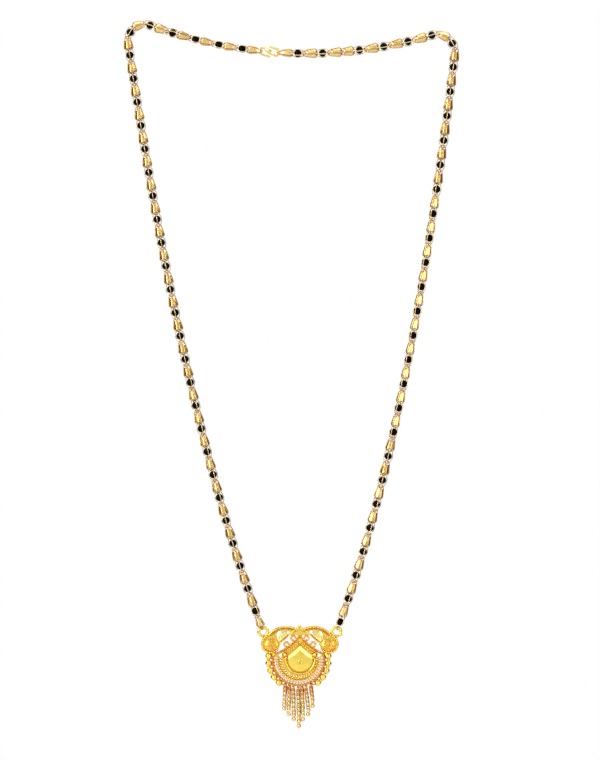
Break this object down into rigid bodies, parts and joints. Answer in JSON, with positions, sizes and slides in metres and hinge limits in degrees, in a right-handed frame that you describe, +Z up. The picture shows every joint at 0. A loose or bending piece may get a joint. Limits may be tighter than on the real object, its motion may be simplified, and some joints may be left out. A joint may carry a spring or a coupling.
{
  "type": "black and gold bead necklace with a pierced gold pendant",
  "caption": "Long double-strand wedding necklace of black beads and gold bells in wire links, with a pierced gold pendant, chain fringe and S clasp, shown hanging.",
  "frame": {"origin": "midway between the two top corners that the hanging loop turns over", "axes": "+X to the viewer's right, +Z up along the hanging necklace, the ornament's face looks towards -Y"},
  "size_m": [0.1506, 0.0045, 0.3187],
  "materials": {
    "gold": "polished high-carat yellow gold with darker recesses",
    "gold_wire": "pale drawn gold wire",
    "matte_gold": "satin fluted gold",
    "gold_chain": "fine polished box chain",
    "pale_gold": "smooth pale yellow gold",
    "black_bead": "glossy black bead"
  },
  "bodies": {
    "chain": {"bead_links_left": "gold_wire", "bead_links_right": "gold_wire", "gold_links_left": "matte_gold", "gold_links_right": "matte_gold", "black_beads_left": "black_bead", "black_beads_right": "black_bead", "s_hook": "pale_gold"},
    "pendant": {"pendant_plate": "gold", "fringe_chain_1": "gold_chain", "fringe_chain_2": "gold_chain", "fringe_chain_3": "gold_chain", "fringe_chain_4": "gold_chain", "fringe_chain_5": "gold_chain", "fringe_chain_6": "gold_chain", "fringe_chain_7": "gold_chain", "fringe_ball_1": "gold", "fringe_ball_2": "gold", "fringe_ball_3": "gold", "fringe_ball_4": "gold", "fringe_ball_5": "gold", "fringe_ball_6": "gold", "fringe_ball_7": "gold"}
  },
  "joints": [
    {"name": "pendant_swing", "type": "hinge", "parent": "chain", "child": "pendant", "pos_m": [0.00384, 0, -0.26773], "axis": [1, 0, 0], "range_deg": [-30, 30]}
  ]
}
